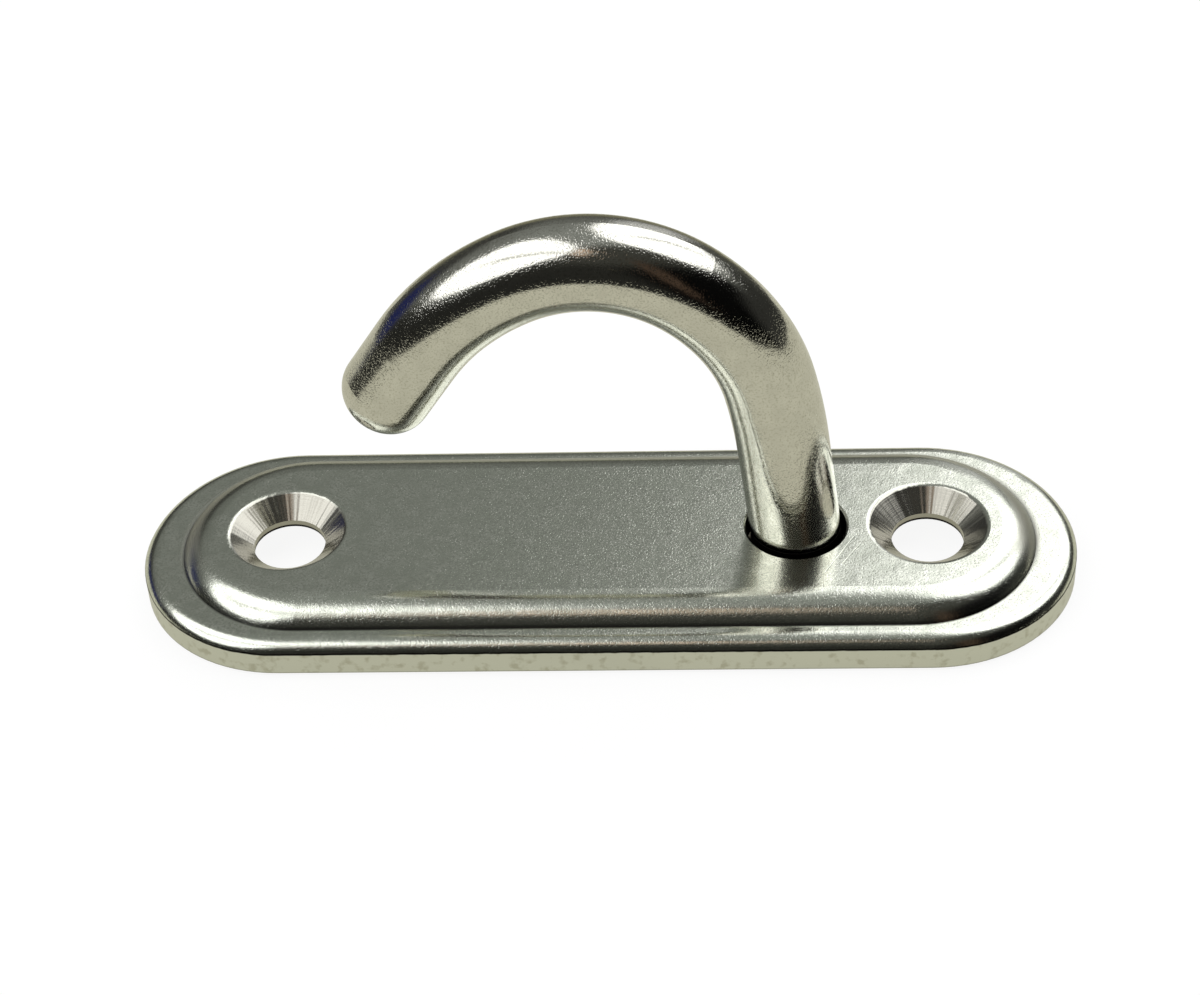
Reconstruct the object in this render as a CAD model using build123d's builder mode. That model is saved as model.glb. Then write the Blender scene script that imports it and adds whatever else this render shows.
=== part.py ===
"""Oblong pad hook: a pressed stainless base plate with a round bar hook welded into it.

Frame: X along the plate, Y across it, Z up from the mounting surface. The origin is the centre of
the plate's underside. The hook stands right of the centre and its tip points to -X. Millimetres.
"""

import math
import os

from build123d import *

# Base plate, seen from above
plate_length = 83.0
plate_width = 26.5
rim_width_ends = 3.6
rim_width_sides = 2.1

# Base plate, in section
rim_height = 3.35
rim_edge_radius = 1.6
rim_edge_sheared = 0.14
underside_edge_chamfer = 0.25
panel_height = 5.1
panel_edge_radius = 3.5
panel_thickness = 2.4
wall_thickness = 2.2
recess_corner_chamfer = 0.9
recess_mouth_chamfer = 0.5

# Screw holes
screw_spacing = 56.8
screw_hole_diameter = 6.4
countersink_diameter = 10.5
countersink_angle = 100.0
countersink_rim_radius = 0.6

# Hole for the hook's stem
stem_hole_x = 16.8
stem_hole_clearance = 0.4
stem_hole_rim_chamfer = 0.25

# Hook: the bar, then its centre line from the panel's top face to the tip
bar_diameter = 8.0
stem_shift_x = -0.1
stem_shift_y = 0.2
stem_lean = 6.3
stem_height = 9.2
bend_radii = (52.0, 18.0, 14.0, 21.0)
bend_angles = (7.2, 39.8, 61.5, 31.5)
tip_length = 8.5
tip_edge_radius = 3.4
root_height = 0.9
root_edge_chamfer = 0.4

# Weld round the stem, under the panel
weld_leg = 1.5

# Sizes that follow
panel_length = plate_length - 2 * rim_width_ends
panel_width = plate_width - 2 * rim_width_sides
blank_length = plate_length + 2 * rim_edge_sheared
blank_width = plate_width + 2 * rim_edge_sheared
shoulder_left = max(panel_edge_radius - (panel_height - rim_height), 0)
shoulder_overrun = panel_edge_radius - math.sqrt(panel_edge_radius**2 - shoulder_left**2)
recess_length = panel_length - 2 * wall_thickness
recess_width = panel_width - 2 * wall_thickness
recess_depth = panel_height - panel_thickness
stem_hole_radius = bar_diameter / 2 + stem_hole_clearance
stem_x = stem_hole_x + stem_shift_x
lean_slope = math.tan(math.radians(stem_lean))


def stem_x_at(height):
    """Place of the leaning stem's centre line at a height above the mounting surface."""
    return stem_x + (panel_height - height) * lean_slope


# The plate is pressed from one blank: a panel raised inside a flat rim, hollow underneath.
with BuildPart() as base_plate:
    # The panel's shoulder is one soft radius. The rim meets it before it stands upright, and the
    # slot is wider by what that hides, so that the panel is as wide as stated where the two meet.
    with BuildSketch(Plane.XY):
        SlotOverall(panel_length + 2 * shoulder_overrun, panel_width + 2 * shoulder_overrun)
    extrude(amount=panel_height)
    panel_top = faces().sort_by(Axis.Z)[-1]
    fillet(panel_top.edges(), radius=panel_edge_radius)

    # The rim's upper edge is rolled down, and the shear that trims the blank cuts the roll off
    # just before it stands upright, so it meets the side wall in a fine crease.
    with BuildSketch(Plane.XY):
        SlotOverall(blank_length, blank_width)
    extrude(amount=rim_height)
    rim_top = faces().filter_by(Plane.XY).sort_by(Axis.Z)[-2]
    fillet(rim_top.outer_wire().edges(), radius=rim_edge_radius)
    with BuildSketch(Plane.XY):
        SlotOverall(plate_length, plate_width)
    extrude(amount=panel_height, mode=Mode.INTERSECT)
    underside = faces().sort_by(Axis.Z)[0]
    chamfer(underside.outer_wire().edges(), length=underside_edge_chamfer)

    with BuildSketch(Plane.XY):
        SlotOverall(recess_length, recess_width)
    extrude(amount=recess_depth, mode=Mode.SUBTRACT)
    recess_roof = faces().filter_by(Plane.XY).sort_by(Axis.Z)[1]
    chamfer(recess_roof.outer_wire().edges(), length=recess_corner_chamfer)
    underside = faces().sort_by(Axis.Z)[0]
    chamfer(underside.inner_wires()[0].edges(), length=recess_mouth_chamfer)

    with Locations((0, 0, panel_height)):
        with GridLocations(screw_spacing, 0, 2, 1):
            CounterSinkHole(
                radius=screw_hole_diameter / 2,
                counter_sink_radius=countersink_diameter / 2,
                counter_sink_angle=countersink_angle,
            )
        with Locations((stem_hole_x, 0)):
            Hole(radius=stem_hole_radius)
    circles = edges().filter_by(GeomType.CIRCLE)
    countersink_rims = circles.filter_by(lambda rim: math.isclose(rim.radius, countersink_diameter / 2))
    fillet(countersink_rims, radius=countersink_rim_radius)
    circles = edges().filter_by(GeomType.CIRCLE)
    stem_rims = circles.filter_by(lambda rim: math.isclose(rim.radius, stem_hole_radius))
    chamfer(stem_rims.sort_by(Axis.Z)[-1], length=stem_hole_rim_chamfer)

# The hook is one length of round bar, bent cold in steps: a long easy bend out of the stem, the
# tight crown, and an easier bend into the tip, whose end is rounded over.
hook_plane = Plane(origin=(0, stem_shift_y, 0), x_dir=(1, 0, 0), z_dir=(0, -1, 0))
with BuildPart() as hook:
    with BuildLine(hook_plane) as centre_line:
        bar_start = (stem_x_at(0), 0)
        stem_rise = (panel_height + stem_height) / math.cos(math.radians(stem_lean))
        piece = PolarLine(bar_start, stem_rise, angle=90 + stem_lean)
        for bend_radius, bend_angle in zip(bend_radii, bend_angles):
            piece = JernArc(piece @ 1, piece % 1, radius=bend_radius, arc_size=bend_angle)
        PolarLine(piece @ 1, tip_length, direction=piece % 1)
    with BuildSketch(Plane(origin=centre_line.line @ 0, z_dir=centre_line.line % 0)):
        Circle(bar_diameter / 2)
    sweep(path=centre_line.line)
    tip_face = faces().filter_by(GeomType.PLANE).sort_by(Axis.X)[0]
    fillet(tip_face.edges(), radius=tip_edge_radius)
    split(bisect_by=Plane.XY.offset(root_height), keep=Keep.TOP)
    root_face = faces().sort_by(Axis.Z)[0]
    chamfer(root_face.edges(), length=root_edge_chamfer)

# The weld is a flat-faced fillet run once round the stem in the hollow of the plate, bounded by the
# bar and the roof of the recess.
weld_centre = (stem_x_at(recess_depth), stem_shift_y, recess_depth)
with BuildPart() as weld_bead:
    with BuildSketch(Plane(origin=weld_centre, x_dir=(1, 0, 0), z_dir=(0, -1, 0))):
        with BuildLine():
            toe = (bar_diameter / 2 + weld_leg, 0)
            crest = (bar_diameter / 2, -weld_leg)
            Polyline((0, 0), toe, crest, (0, -weld_leg), close=True)
        make_face()
    revolve(axis=Axis(weld_centre, (0, 0, 1)))
    add(hook.part, mode=Mode.SUBTRACT)

os.makedirs("parts", exist_ok=True)
for name, sub_part in (("base_plate", base_plate), ("hook", hook), ("weld_bead", weld_bead)):
    sub_part.part.label = name
    export_step(sub_part.part, f"parts/{name}.step")
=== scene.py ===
"""An oblong pad hook in tumbled stainless steel, on a pale sheet in a room with two large windows."""

import math

import bpy
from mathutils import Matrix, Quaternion, Vector


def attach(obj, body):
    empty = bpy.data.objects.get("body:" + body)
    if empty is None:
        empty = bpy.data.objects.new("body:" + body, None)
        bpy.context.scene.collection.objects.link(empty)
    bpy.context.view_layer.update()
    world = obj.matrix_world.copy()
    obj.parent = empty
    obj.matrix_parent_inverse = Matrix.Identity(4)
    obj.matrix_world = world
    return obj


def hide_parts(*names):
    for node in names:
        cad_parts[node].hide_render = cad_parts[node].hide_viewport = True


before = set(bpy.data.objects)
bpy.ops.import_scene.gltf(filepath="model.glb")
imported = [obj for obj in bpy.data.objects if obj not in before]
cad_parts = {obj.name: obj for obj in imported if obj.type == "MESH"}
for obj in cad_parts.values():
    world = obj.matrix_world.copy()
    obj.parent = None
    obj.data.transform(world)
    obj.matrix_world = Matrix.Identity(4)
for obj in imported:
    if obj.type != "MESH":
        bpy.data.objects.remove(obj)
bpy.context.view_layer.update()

# Base plate. A pad pressed from stainless sheet: a raised panel inside a flat rim, hollow underneath.
# It was blanked, pressed, drilled and countersunk, then tumbled, and two screws hold it down.
mm = 0.001
plate_end_centre = 28.25 * mm
panel_end_centre = 26.75 * mm
screw_axis = (28.4 * mm, 0, 0)
stem_axis = (16.8 * mm, 0, 0)

# Each part of its surface with a finish of its own, and each place where shade is painted into its
# colour, lies in bands of reach, seen from above, and of height. A band is where it starts, where it
# ends, and how far its edges blur.
beyond = 2.0
wall_reach = (13.0 * mm, beyond, 0.03 * mm)
wall_height = (-beyond, 2.40 * mm, 0.02 * mm)
wall_foot_height = (-beyond, 0.30 * mm, 0.08 * mm)
shear_line_height = (2.325 * mm, 2.475 * mm, 0.04 * mm)
panel_foot_reach = (9.5 * mm, 11.4 * mm, 0.25 * mm)
panel_foot_side = (-3.0 * mm, beyond, 2.0 * mm)
panel_foot_height = (3.3 * mm, 4.9 * mm, 0.02 * mm)
crease_reach = (11.0 * mm, 11.25 * mm, 0.08 * mm)
crease_height = (3.2 * mm, 3.62 * mm, 0.05 * mm)
hollow_reach = (-beyond, 12.0 * mm, 0.1 * mm)
hollow_height = (0.1 * mm, 2.72 * mm, 0.02 * mm)
countersink_reach = (-beyond, 5.2 * mm, 0.15 * mm)
countersink_height = (2.75 * mm, beyond, 0.02 * mm)
bore_reach = (-beyond, 3.3 * mm, 0.05 * mm)
bore_foot_height = (2.6 * mm, 2.92 * mm, 0.04 * mm)
stem_hole_reach = (-beyond, 4.5 * mm, 0.05 * mm)
stem_hole_height = (2.72 * mm, 4.95 * mm, 0.05 * mm)


def linear(hex_colour):
    """An sRGB hex colour as linear RGBA."""
    parts = [int(hex_colour[i:i + 2], 16) / 255 for i in (1, 3, 5)]
    return [p / 12.92 if p <= 0.04045 else ((p + 0.055) / 1.055) ** 2.4 for p in parts] + [1.0]


def add_node(tree, kind, inputs=(), output=0, **settings):
    """Adds a node with its settings, gives each input a value or a link, and returns one output."""
    node = tree.nodes.new("ShaderNode" + kind)
    for name, value in settings.items():
        setattr(node, name, value)
    for name, value in inputs.items() if isinstance(inputs, dict) else enumerate(inputs):
        if isinstance(value, bpy.types.NodeSocket):
            tree.links.new(value, node.inputs[name])
        else:
            node.inputs[name].default_value = value
    return node.outputs[output]


def new_steel(name):
    """A metal with its node tree, its shader and the place on the piece that each point has."""
    material = bpy.data.materials.new(name)
    material.use_nodes = True
    tree = material.node_tree
    shader = tree.nodes["Principled BSDF"]
    shader.inputs["Metallic"].default_value = 1.0
    place = add_node(tree, "TexCoord", output="Object")
    return material, tree, shader, place


def within(tree, value, band, where=1.0):
    """A mask that is one where a value lies in a band and another mask is one too."""
    low, high, blur = band
    rise = add_node(tree, "MapRange", {"Value": value, "From Min": low - blur, "From Max": low + blur,
                                       "To Max": where})
    fall = add_node(tree, "MapRange", {"Value": value, "From Min": high + blur, "From Max": high - blur})
    return add_node(tree, "Math", (rise, fall), operation="MULTIPLY")


def reach_from_ridge(tree, level_place, end_centre):
    """How far each point lies, seen from above, from the line between a slot's two end centres."""
    side = add_node(tree, "VectorMath", (level_place,), operation="ABSOLUTE")
    past_end = add_node(tree, "VectorMath", (side, (end_centre, 0, 0)), operation="SUBTRACT")
    past_end = add_node(tree, "VectorMath", (past_end, (0, 0, 0)), operation="MAXIMUM")
    return add_node(tree, "VectorMath", (past_end,), "Value", operation="LENGTH")


def laid_over(tree, ground, coats, kind):
    """A colour or level of the ground with others laid over it in turn, each where its mask says."""
    first, second, result = {"RGBA": (6, 7, 2), "FLOAT": (2, 3, 0)}[kind]
    for mask, coat in coats:
        ground = add_node(tree, "Mix", {0: mask, first: ground, second: coat}, result, data_type=kind)
    return ground


def dress(node_name, material):
    """Gives a CAD node's own material slots the finished material."""
    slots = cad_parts[node_name].data.materials
    slots.clear()
    slots.append(material)


# Tumbled stainless sheet. The media leave fine dents all over, so what it mirrors breaks up into
# bright and dark grains at its edges, and the flat panel has a faint cloudy look. The real dents
# are about 0.05 mm across and are drawn three times as coarse, so that they show.
sheet = linear("#e0e2d8")
sheet_cloud = linear("#c6cabe")
sheet_speck = linear("#c4c7bc")
wall = linear("#dadcd3")
wall_stain = linear("#c4c4b7")
# Painted shade: the foot of the side wall is drawn darker, for the shade where the plate meets the
# paper.
wall_foot_shade = linear("#84837a")
sink = linear("#aeaca3")
# Painted shade: the far side of the panel's foot is drawn darker, and rougher, so that it mirrors the
# lit paper behind it dimly.
panel_foot_shade = linear("#b3b3a8")
hollow = linear("#b3b2ab")
# Drawn darker in the crease where the panel meets the rim.
crease = linear("#969790")
# Near black, both for the dark burr line along the sheared wall and for painted shade in the screw bores
# and in the gap round the stem.
burr_line_and_painted_shade = linear("#141311")
sheet_roughness = 0.15
cloud_roughness = 0.19
wall_roughness = 0.30
sink_roughness = 0.21
panel_foot_roughness = 0.42
hollow_roughness = 0.36
painted_shade_roughness = 0.60
cloud_size = 1.6 * mm
cloud_depth = 0.015 * mm
cloud_band = (-beyond, 0.50, 0.20)
grain_size = 0.18 * mm
grain_depth = 0.0035 * mm
speck_band = (-beyond, 0.45, 0.08)
dent_spacing = 0.16 * mm
dent_depth = 0.0055 * mm
dent_edge, dent_bottom = 0.56, 0.79
stain_size = 0.9 * mm
stain_band = (0.62, beyond, 0.08)
shear_wander = 0.12 * mm

plate_steel, tree, shader, place = new_steel("tumbled_stainless_sheet")
x, y, z = add_node(tree, "SeparateXYZ", (place,)).node.outputs
level_place = add_node(tree, "CombineXYZ", (x, y, 0.0))
side_x = add_node(tree, "Math", (x,), operation="ABSOLUTE")
side_place = add_node(tree, "CombineXYZ", (side_x, y, 0.0))
from_screw = add_node(tree, "VectorMath", (side_place, screw_axis), "Value", operation="DISTANCE")
from_stem = add_node(tree, "VectorMath", (level_place, stem_axis), "Value", operation="DISTANCE")
from_plate_ridge = reach_from_ridge(tree, level_place, plate_end_centre)
from_panel_ridge = reach_from_ridge(tree, level_place, panel_end_centre)

clouds = add_node(tree, "TexNoise", {"Vector": place, "Scale": 1 / cloud_size, "Detail": 3.0})
grain = add_node(tree, "TexNoise", {"Vector": place, "Scale": 1 / grain_size, "Detail": 2.0})
stains = add_node(tree, "TexNoise", {"Vector": place, "Scale": 1 / stain_size, "Detail": 2.0})
dents = add_node(tree, "TexNoise", {"Vector": place, "Scale": 1 / dent_spacing, "Detail": 1.0})
dents = add_node(tree, "MapRange", {"Value": dents, "From Min": dent_edge, "From Max": dent_bottom})
wander = add_node(tree, "MapRange", {"Value": stains, "To Min": -shear_wander / 2,
                                     "To Max": shear_wander / 2})
wandering_z = add_node(tree, "Math", (z, wander), operation="ADD")

cloudy = within(tree, clouds, cloud_band)
speckled = within(tree, grain, speck_band)
on_edge = within(tree, from_plate_ridge, wall_reach)
on_wall = within(tree, z, wall_height, on_edge)
stained = within(tree, stains, stain_band, on_wall)
# Painted shade along the foot of the side wall, where it stands on the paper.
on_shaded_wall_foot = within(tree, z, wall_foot_height, on_wall)
on_shear_line = within(tree, wandering_z, shear_line_height, on_edge)
in_sink = within(tree, from_screw, countersink_reach)
in_sink = within(tree, z, countersink_height, in_sink)
# Painted shade: the foot of each screw bore is drawn near black, as shade down in the hole.
on_shaded_bore_foot = within(tree, from_screw, bore_reach)
on_shaded_bore_foot = within(tree, z, bore_foot_height, on_shaded_bore_foot)
in_hollow = within(tree, from_plate_ridge, hollow_reach)
in_hollow = within(tree, z, hollow_height, in_hollow)
# Painted shade: the wall of the stem hole, down in the gap round the stem, is drawn near black and matt.
in_shaded_gap = within(tree, from_stem, stem_hole_reach)
in_shaded_gap = within(tree, z, stem_hole_height, in_shaded_gap)
# Painted shade on the far side of the panel's foot.
on_shaded_panel_foot = within(tree, from_panel_ridge, panel_foot_reach)
on_shaded_panel_foot = within(tree, y, panel_foot_side, on_shaded_panel_foot)
on_shaded_panel_foot = within(tree, z, panel_foot_height, on_shaded_panel_foot)
in_crease = within(tree, from_panel_ridge, crease_reach)
in_crease = within(tree, z, crease_height, in_crease)

colour_coats = ((cloudy, sheet_cloud), (speckled, sheet_speck), (on_wall, wall), (stained, wall_stain),
                (on_shaded_wall_foot, wall_foot_shade), (in_sink, sink), (on_shaded_panel_foot, panel_foot_shade),
                (in_hollow, hollow), (on_shaded_bore_foot, burr_line_and_painted_shade), (on_shear_line, burr_line_and_painted_shade), (in_crease, crease),
                (in_shaded_gap, burr_line_and_painted_shade))
roughness_coats = ((cloudy, cloud_roughness), (on_wall, wall_roughness),
                   (on_shaded_panel_foot, panel_foot_roughness), (in_hollow, hollow_roughness),
                   (in_sink, sink_roughness), (in_shaded_gap, painted_shade_roughness))
colour = laid_over(tree, sheet, colour_coats, "RGBA")
roughness = laid_over(tree, sheet_roughness, roughness_coats, "FLOAT")
tree.links.new(colour, shader.inputs["Base Color"])
tree.links.new(roughness, shader.inputs["Roughness"])

# The countersinks were turned after pressing, and keep the cutter's fine rings and the slow waves
# that it chattered round the cone, under a lighter tumbling. All heights are in millimetres.
turning_pitch = 0.11 * mm
turning_depth = 0.003 * mm
chatter_step = 0.15
chatter_depth = 0.05 * mm
tumbling_left = 0.2

rings = add_node(tree, "TexNoise", {"W": from_screw, "Scale": 1 / turning_pitch, "Detail": 1.0},
                 noise_dimensions="1D")
screw_x = add_node(tree, "Math", (side_x, screw_axis[0]), operation="SUBTRACT")
round_screw = add_node(tree, "Math", (y, screw_x), operation="ARCTAN2")
chatter = add_node(tree, "TexNoise", {"W": round_screw, "Scale": 1 / chatter_step, "Detail": 1.0},
                   noise_dimensions="1D")
tumbled = add_node(tree, "Math", (grain, grain_depth / mm), operation="MULTIPLY")
tumbled = add_node(tree, "Math", (clouds, cloud_depth / mm, tumbled), operation="MULTIPLY_ADD")
tumbled = add_node(tree, "Math", (dents, -dent_depth / mm, tumbled), operation="MULTIPLY_ADD")
turned = add_node(tree, "Math", (rings, turning_depth / mm), operation="MULTIPLY")
turned = add_node(tree, "Math", (chatter, chatter_depth / mm, turned), operation="MULTIPLY_ADD")
turned = add_node(tree, "Math", (tumbled, tumbling_left, turned), operation="MULTIPLY_ADD")
height = laid_over(tree, tumbled, ((in_sink, turned),), "FLOAT")

# A few fine scratches that tools left in the panel. Each is a groove between two points, in
# millimetres and seen from above.
scratch_width = 0.05 * mm
scratch_depth = 0.008 * mm
scratch_band = (-beyond, scratch_width / 2, scratch_width / 2)
scratches = (((21.9, -1.6), (19.2, -6.3)),
             ((22.4, -2.6), (20.6, -5.4)),
             ((-27.4, -7.3), (-26.0, -7.9)),
             ((1.5, 6.2), (2.9, 5.6)))

for start, end in scratches:
    start = Vector((*start, 0)) * mm
    along = Vector((*end, 0)) * mm - start
    offset = add_node(tree, "VectorMath", (level_place, start), operation="SUBTRACT")
    share = add_node(tree, "VectorMath", (offset, along / along.length_squared), "Value",
                     operation="DOT_PRODUCT")
    share = add_node(tree, "Clamp", (share,))
    nearest = add_node(tree, "VectorMath", {0: along, "Scale": share}, operation="SCALE")
    distance = add_node(tree, "VectorMath", (offset, nearest), "Value", operation="DISTANCE")
    groove = within(tree, distance, scratch_band)
    height = add_node(tree, "Math", (groove, -scratch_depth / mm, height), operation="MULTIPLY_ADD")
surface = add_node(tree, "Bump", {"Height": height, "Distance": mm, "Strength": 1.0})
tree.links.new(surface, shader.inputs["Normal"])
dress("base_plate", plate_steel)

# Hook. One length of 8 mm drawn stainless bar, bent cold in steps and rounded over at the tip, then
# tumbled with the plate. It goes down through the panel and is welded in from below.
stem_foot_height = (2.8 * mm, 5.0 * mm, 0.06 * mm)

# Tumbled stainless bar. It is drawn and denser than the sheet, so it takes a brighter shine and
# mirrors the windows nearly sharply, and its dents show as salt and pepper in the dark bands.
bar = linear("#d8d7cf")
bar_cloud = linear("#d0cfc7")
bar_speck = linear("#c2c1b7")
bar_roughness = 0.10
bar_wave_size = 1.4 * mm
bar_wave_depth = 0.006 * mm
bar_cloud_band = (-beyond, 0.50, 0.14)
bar_grain_depth = 0.0025 * mm
bar_speck_band = (-beyond, 0.42, 0.07)
bar_dent_spacing = 0.15 * mm
bar_dent_depth = 0.0065 * mm
bar_dent_edge, bar_dent_bottom = 0.53, 0.76

bar_steel, tree, shader, place = new_steel("tumbled_stainless_bar")
z = add_node(tree, "SeparateXYZ", (place,), "Z")
waves = add_node(tree, "TexNoise", {"Vector": place, "Scale": 1 / bar_wave_size, "Detail": 3.0})
grain = add_node(tree, "TexNoise", {"Vector": place, "Scale": 1 / grain_size, "Detail": 2.0})
dents = add_node(tree, "TexNoise", {"Vector": place, "Scale": 1 / bar_dent_spacing, "Detail": 1.0})
dents = add_node(tree, "MapRange", {"Value": dents, "From Min": bar_dent_edge,
                                    "From Max": bar_dent_bottom})
# Painted shade: the stem below the panel, down in the gap in the plate, is drawn near black and matt.
in_shaded_gap = within(tree, z, stem_foot_height)
cloudy = within(tree, waves, bar_cloud_band)
speckled = within(tree, grain, bar_speck_band)
colour_coats = ((cloudy, bar_cloud), (speckled, bar_speck), (in_shaded_gap, burr_line_and_painted_shade))
colour = laid_over(tree, bar, colour_coats, "RGBA")
roughness = laid_over(tree, bar_roughness, ((in_shaded_gap, painted_shade_roughness),), "FLOAT")
tree.links.new(colour, shader.inputs["Base Color"])
tree.links.new(roughness, shader.inputs["Roughness"])
height = add_node(tree, "Math", (grain, bar_grain_depth / mm), operation="MULTIPLY")
height = add_node(tree, "Math", (waves, bar_wave_depth / mm, height), operation="MULTIPLY_ADD")
height = add_node(tree, "Math", (dents, -bar_dent_depth / mm, height), operation="MULTIPLY_ADD")
surface = add_node(tree, "Bump", {"Height": height, "Distance": mm, "Strength": 1.0})
tree.links.new(surface, shader.inputs["Normal"])
dress("hook", bar_steel)

# Weld. One fillet of filler metal run round the stem in the hollow of the plate, by hand and in short
# steps, so that it is slightly convex and carries the ripples of the pool. It was pickled clean.
weld_leg = 1.5 * mm
weld_roof = 2.7 * mm
stem_radius = 4.0 * mm
stem_sunk = 0.05 * mm
stem_x_at_top = 16.7 * mm
stem_y = 0.2 * mm
panel_top = 5.1 * mm
lean_slope = math.tan(math.radians(6.3))
crown_height = 0.16 * mm
crown_fullness = 0.7
ripple_height = 0.07 * mm
ripple_count = 26
ripple_sweep = 1.9
unevenness = 0.35
uneven_places = 3
steps_round = ripple_count * 12
steps_across = 14
diagonal = math.sqrt(0.5)

points = []
for step in range(steps_round):
    turn = 2 * math.pi * step / steps_round
    section = []
    for across in range(steps_across + 1):
        share = across / steps_across
        arch = math.sin(math.pi * share)
        ripple = (1 + math.cos(ripple_count * turn + ripple_sweep * arch)) / 2
        ripple *= 1 + unevenness * math.sin(uneven_places * turn + 1)
        swell = (crown_height + ripple_height * ripple) * arch ** crown_fullness * diagonal
        out_from_stem = stem_radius + weld_leg * (1 - share) + swell
        section.append((out_from_stem, weld_roof - weld_leg * share - swell))
    section.append((stem_radius - stem_sunk, weld_roof - weld_leg))
    section.append((stem_radius - stem_sunk, weld_roof))
    for radius, level in section:
        centre_x = stem_x_at_top + (panel_top - level) * lean_slope
        points.append((centre_x + radius * math.cos(turn), stem_y + radius * math.sin(turn), level))
section_size = steps_across + 3
faces = []
for step in range(steps_round):
    here = step * section_size
    there = (step + 1) % steps_round * section_size
    for across in range(section_size):
        after = (across + 1) % section_size
        faces.append((here + across, here + after, there + after, there + across))
weld_mesh = bpy.data.meshes.new("rippled_weld")
weld_mesh.from_pydata(points, [], faces)
weld_mesh.shade_smooth()
rippled_weld = bpy.data.objects.new("rippled_weld", weld_mesh)
bpy.context.scene.collection.objects.link(rippled_weld)

# Pickled weld metal. The acid leaves it clean but dull, a shade greyer than the tumbled steel, with a
# faint straw tint where the heat was.
pickled = linear("#a5a39c")
straw = linear("#aba38c")
pickled_roughness = 0.34
straw_roughness = 0.44
straw_size = 0.8 * mm
straw_band = (0.50, beyond, 0.10)
pickled_grain_size = 0.12 * mm
pickled_grain_depth = 0.006 * mm

weld_steel, tree, shader, place = new_steel("pickled_weld_metal")
clouds = add_node(tree, "TexNoise", {"Vector": place, "Scale": 1 / straw_size, "Detail": 3.0})
grain = add_node(tree, "TexNoise", {"Vector": place, "Scale": 1 / pickled_grain_size, "Detail": 2.0})
tinged = within(tree, clouds, straw_band)
colour = laid_over(tree, pickled, ((tinged, straw),), "RGBA")
roughness = laid_over(tree, pickled_roughness, ((tinged, straw_roughness),), "FLOAT")
tree.links.new(colour, shader.inputs["Base Color"])
tree.links.new(roughness, shader.inputs["Roughness"])
surface = add_node(tree, "Bump", {"Height": grain, "Distance": pickled_grain_depth, "Strength": 1.0})
tree.links.new(surface, shader.inputs["Normal"])
weld_mesh.materials.append(weld_steel)
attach(rippled_weld, "root")
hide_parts("weld_bead")

# Sheet of pale matt paper that the hook stands on, in one plain piece. The camera sees it nearly
# white, as in an overexposed picture, with the hook's faint shadow, and the steel mirrors it in the
# paper's own warm grey.
paper_grey = linear("#d2d0be")
white = (1, 1, 1, 1)
black = (0, 0, 0, 1)
paper_glow = 0.90
paper_shade = 0.13
sheet_low = Vector((-280, -135, -0.05)) * mm
sheet_high = Vector((280, 105, -0.05)) * mm

paper_mesh = bpy.data.meshes.new("paper_sheet")
corners = [(sheet_low.x, sheet_low.y, sheet_low.z), (sheet_high.x, sheet_low.y, sheet_low.z),
           (sheet_high.x, sheet_high.y, sheet_low.z), (sheet_low.x, sheet_high.y, sheet_low.z)]
paper_mesh.from_pydata(corners, [], [(0, 1, 2, 3)])
paper_sheet = bpy.data.objects.new("paper_sheet", paper_mesh)
bpy.context.scene.collection.objects.link(paper_sheet)

paper = bpy.data.materials.new("matt_paper")
paper.use_nodes = True
tree = paper.node_tree
shader = tree.nodes["Principled BSDF"]
shader.inputs["Base Color"].default_value = paper_grey
shader.inputs["Roughness"].default_value = 1.0
shader.inputs["Specular IOR Level"].default_value = 0.0
rays = add_node(tree, "LightPath").node.outputs
seen = add_node(tree, "Math", (rays["Is Camera Ray"], rays["Is Glossy Ray"]), operation="MAXIMUM")
seen = add_node(tree, "Math", (seen, rays["Is Transmission Ray"]), operation="MAXIMUM")
tint = laid_over(tree, paper_grey, ((rays["Is Camera Ray"], white),), "RGBA")
faint_tint = laid_over(tree, tint, ((1 - paper_shade, black),), "RGBA")
shaded = add_node(tree, "BsdfDiffuse", {"Color": faint_tint})
glow = add_node(tree, "Emission", {"Color": tint, "Strength": paper_glow})
bright = add_node(tree, "AddShader", (shaded, glow))
either = add_node(tree, "MixShader", (seen, shader.outputs[0], bright))
tree.links.new(either, tree.nodes["Material Output"].inputs["Surface"])
paper_mesh.materials.append(paper)

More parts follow.
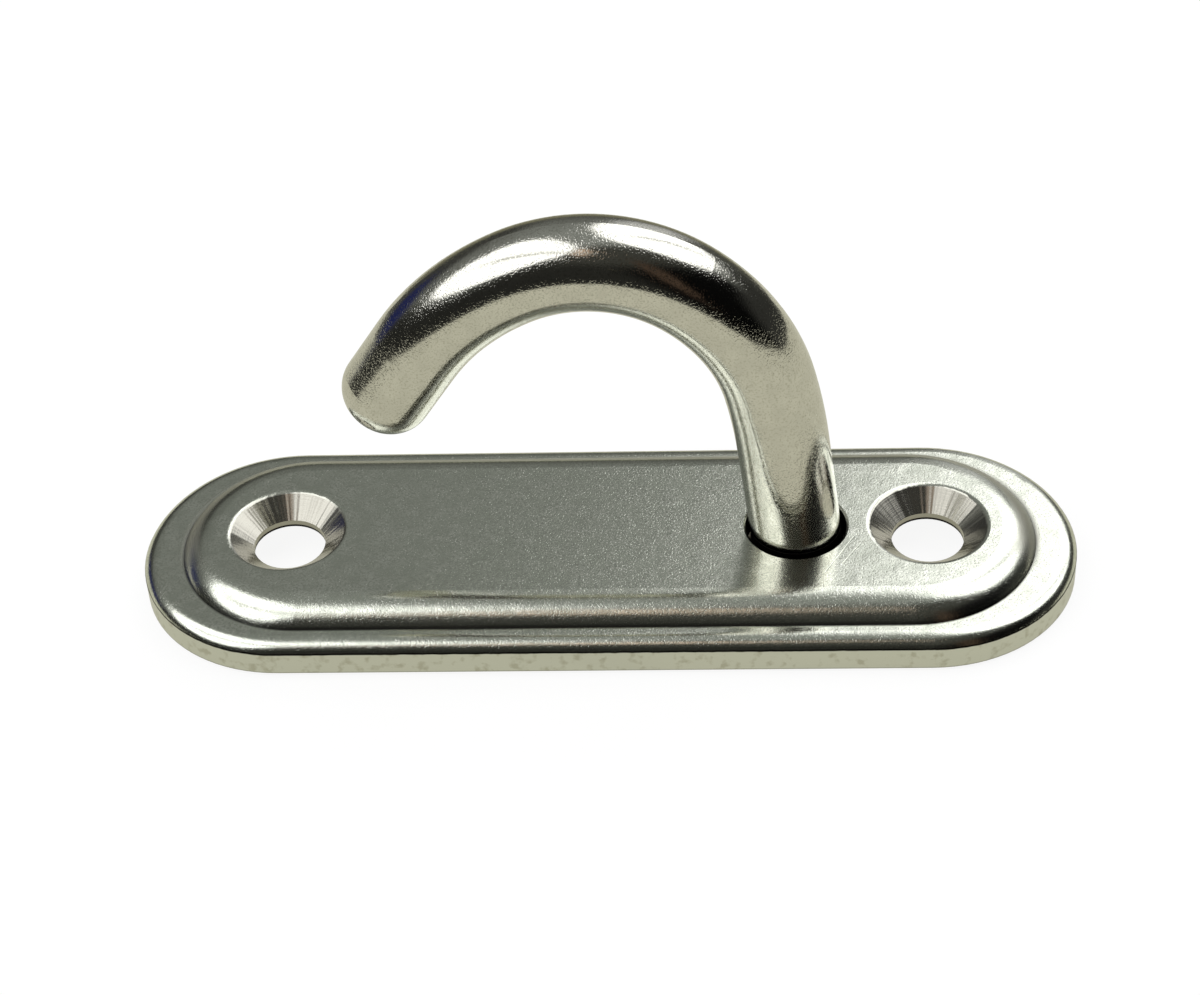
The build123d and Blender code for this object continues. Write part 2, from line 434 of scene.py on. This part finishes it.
# Room. It lights the hook by itself, at a level at which a colour on the floor renders about as
# written, and the camera sees white instead. Each thing in it is a soft patch: azimuth from +Y
# towards +X, elevation, half width and half height as slopes, tilt, softness, and brightness.
low_room = (0.08, 0.08, 0.07, 1)
ceiling = (0.285, 0.297, 0.28, 1)
ceiling_height = 0.9
window = (2.2, 2.2, 2.2)
patch_squareness = 2.6
least_facing = 0.02
room_things = (
    ("dim front of the room", 175, 14, 1.1, 0.75, 0, 0.5, (0.025, 0.025, 0.022)),
    ("dim left side of the room", -120, 4, 1.1, 0.30, 0, 0.5, (0.022, 0.022, 0.02)),
    ("dim wall over the door", 150, 54, 0.75, 0.40, 0, 0.5, (0.055, 0.055, 0.048)),
    ("dark right side of the room", 122, 14, 1.0, 0.60, 0, 0.35, (0.003, 0.003, 0.003)),
    ("brown door", 151, 26, 0.10, 0.36, 0, 0.6, (0.075, 0.05, 0.035)),
    ("dim cupboard behind", 72, 4, 0.65, 0.30, 0, 0.5, (0.035, 0.035, 0.032)),
    ("tan curtain", -174, 60, 0.06, 0.13, 0, 0.5, (0.80, 0.60, 0.46)),
    ("olive wall behind", -6, -22, 0.60, 0.42, 0, 0.3, (0.23, 0.22, 0.15)),
    ("dim shelves behind on the left", -42, 10, 0.50, 0.22, 0, 0.35, (0.055, 0.055, 0.05)),
    ("pale blind behind", 15, 22, 0.14, 0.36, 0, 0.6, (0.60, 0.60, 0.60)),
    ("blue cloth", -62, 6, 0.26, 0.16, 0, 0.5, (0.02, 0.025, 0.10)),
    ("window on the left", -110, 51, 0.57, 0.53, -8, 0.12, window),
    ("window behind on the right", 47, 50, 0.61, 0.49, 40, 0.12, window),
    ("upper glazing bar on the left", -122, 56, 0.45, 0.05, -28, 0.9, (0.70, 0.70, 0.66)),
    ("lower glazing bar on the left", -108, 44, 0.35, 0.03, 20, 0.9, (0.95, 0.95, 0.92)),
    ("glazing bar on the right", 45, 46, 0.05, 0.33, 10, 0.9, (0.75, 0.75, 0.73)),
)

world = bpy.data.worlds.new("studio_room")
bpy.context.scene.world = world
world.use_nodes = True
tree = world.node_tree
direction = add_node(tree, "TexCoord", output="Generated")
height = add_node(tree, "SeparateXYZ", (direction,), "Z")
upward = add_node(tree, "MapRange", {"Value": height, "From Max": ceiling_height})
patches = [(upward, ceiling)]
for _, azimuth, elevation, half_width, half_height, tilt, softness, level in room_things:
    turn, lift, tilt = math.radians(azimuth), math.radians(elevation), math.radians(tilt)
    ahead = Vector((math.sin(turn) * math.cos(lift), math.cos(turn) * math.cos(lift), math.sin(lift)))
    aside = Quaternion(ahead, -tilt) @ Vector((math.cos(turn), -math.sin(turn), 0.0))
    above = aside.cross(ahead)
    facing = add_node(tree, "VectorMath", (direction, ahead), "Value", operation="DOT_PRODUCT")
    facing = add_node(tree, "Math", (facing, least_facing), operation="MAXIMUM")
    powers = []
    for axis, half in ((aside, half_width), (above, half_height)):
        reach = add_node(tree, "VectorMath", (direction, axis / half), "Value", operation="DOT_PRODUCT")
        reach = add_node(tree, "Math", (reach, facing), operation="DIVIDE")
        reach = add_node(tree, "Math", (reach,), operation="ABSOLUTE")
        powers.append(add_node(tree, "Math", (reach, patch_squareness), operation="POWER"))
    radius = add_node(tree, "Math", powers, operation="ADD")
    radius = add_node(tree, "Math", (radius, 1 / patch_squareness), operation="POWER")
    inside = {"Value": radius, "From Min": 1 + softness, "From Max": 1 - softness}
    inside = add_node(tree, "MapRange", inside, interpolation_type="SMOOTHERSTEP")
    patches.append((inside, (*level, 1)))
patches.append((add_node(tree, "LightPath", output="Is Camera Ray"), white))
tree.links.new(laid_over(tree, low_room, patches, "RGBA"), tree.nodes["Background"].inputs["Color"])

# Camera. A long lens a quarter of a metre in front of the plate, looking down on it at 41 degrees
# and rolled a little, as the photograph was taken.
aim = Vector((-1.09, 9.77, 0.0)) * mm
distance = 255.1 * mm
yaw, pitch, roll = math.radians(-4.231), math.radians(40.84), math.radians(3.439)

camera_data = bpy.data.cameras.new("camera")
camera = bpy.data.objects.new("camera", camera_data)
bpy.context.scene.collection.objects.link(camera)
bpy.context.scene.camera = camera
camera_data.sensor_width = 36.0
camera_data.sensor_fit = "HORIZONTAL"
camera_data.lens = 82.8
camera_data.clip_start = 10 * mm
camera_data.clip_end = 10.0
look = Vector((math.sin(yaw) * math.cos(pitch), math.cos(yaw) * math.cos(pitch), -math.sin(pitch)))
camera.location = aim - look * distance
camera.rotation_mode = "QUATERNION"
camera.rotation_quaternion = Quaternion(look, roll) @ look.to_track_quat("-Z", "Y")

bpy.context.scene.view_settings.view_transform = "Standard"
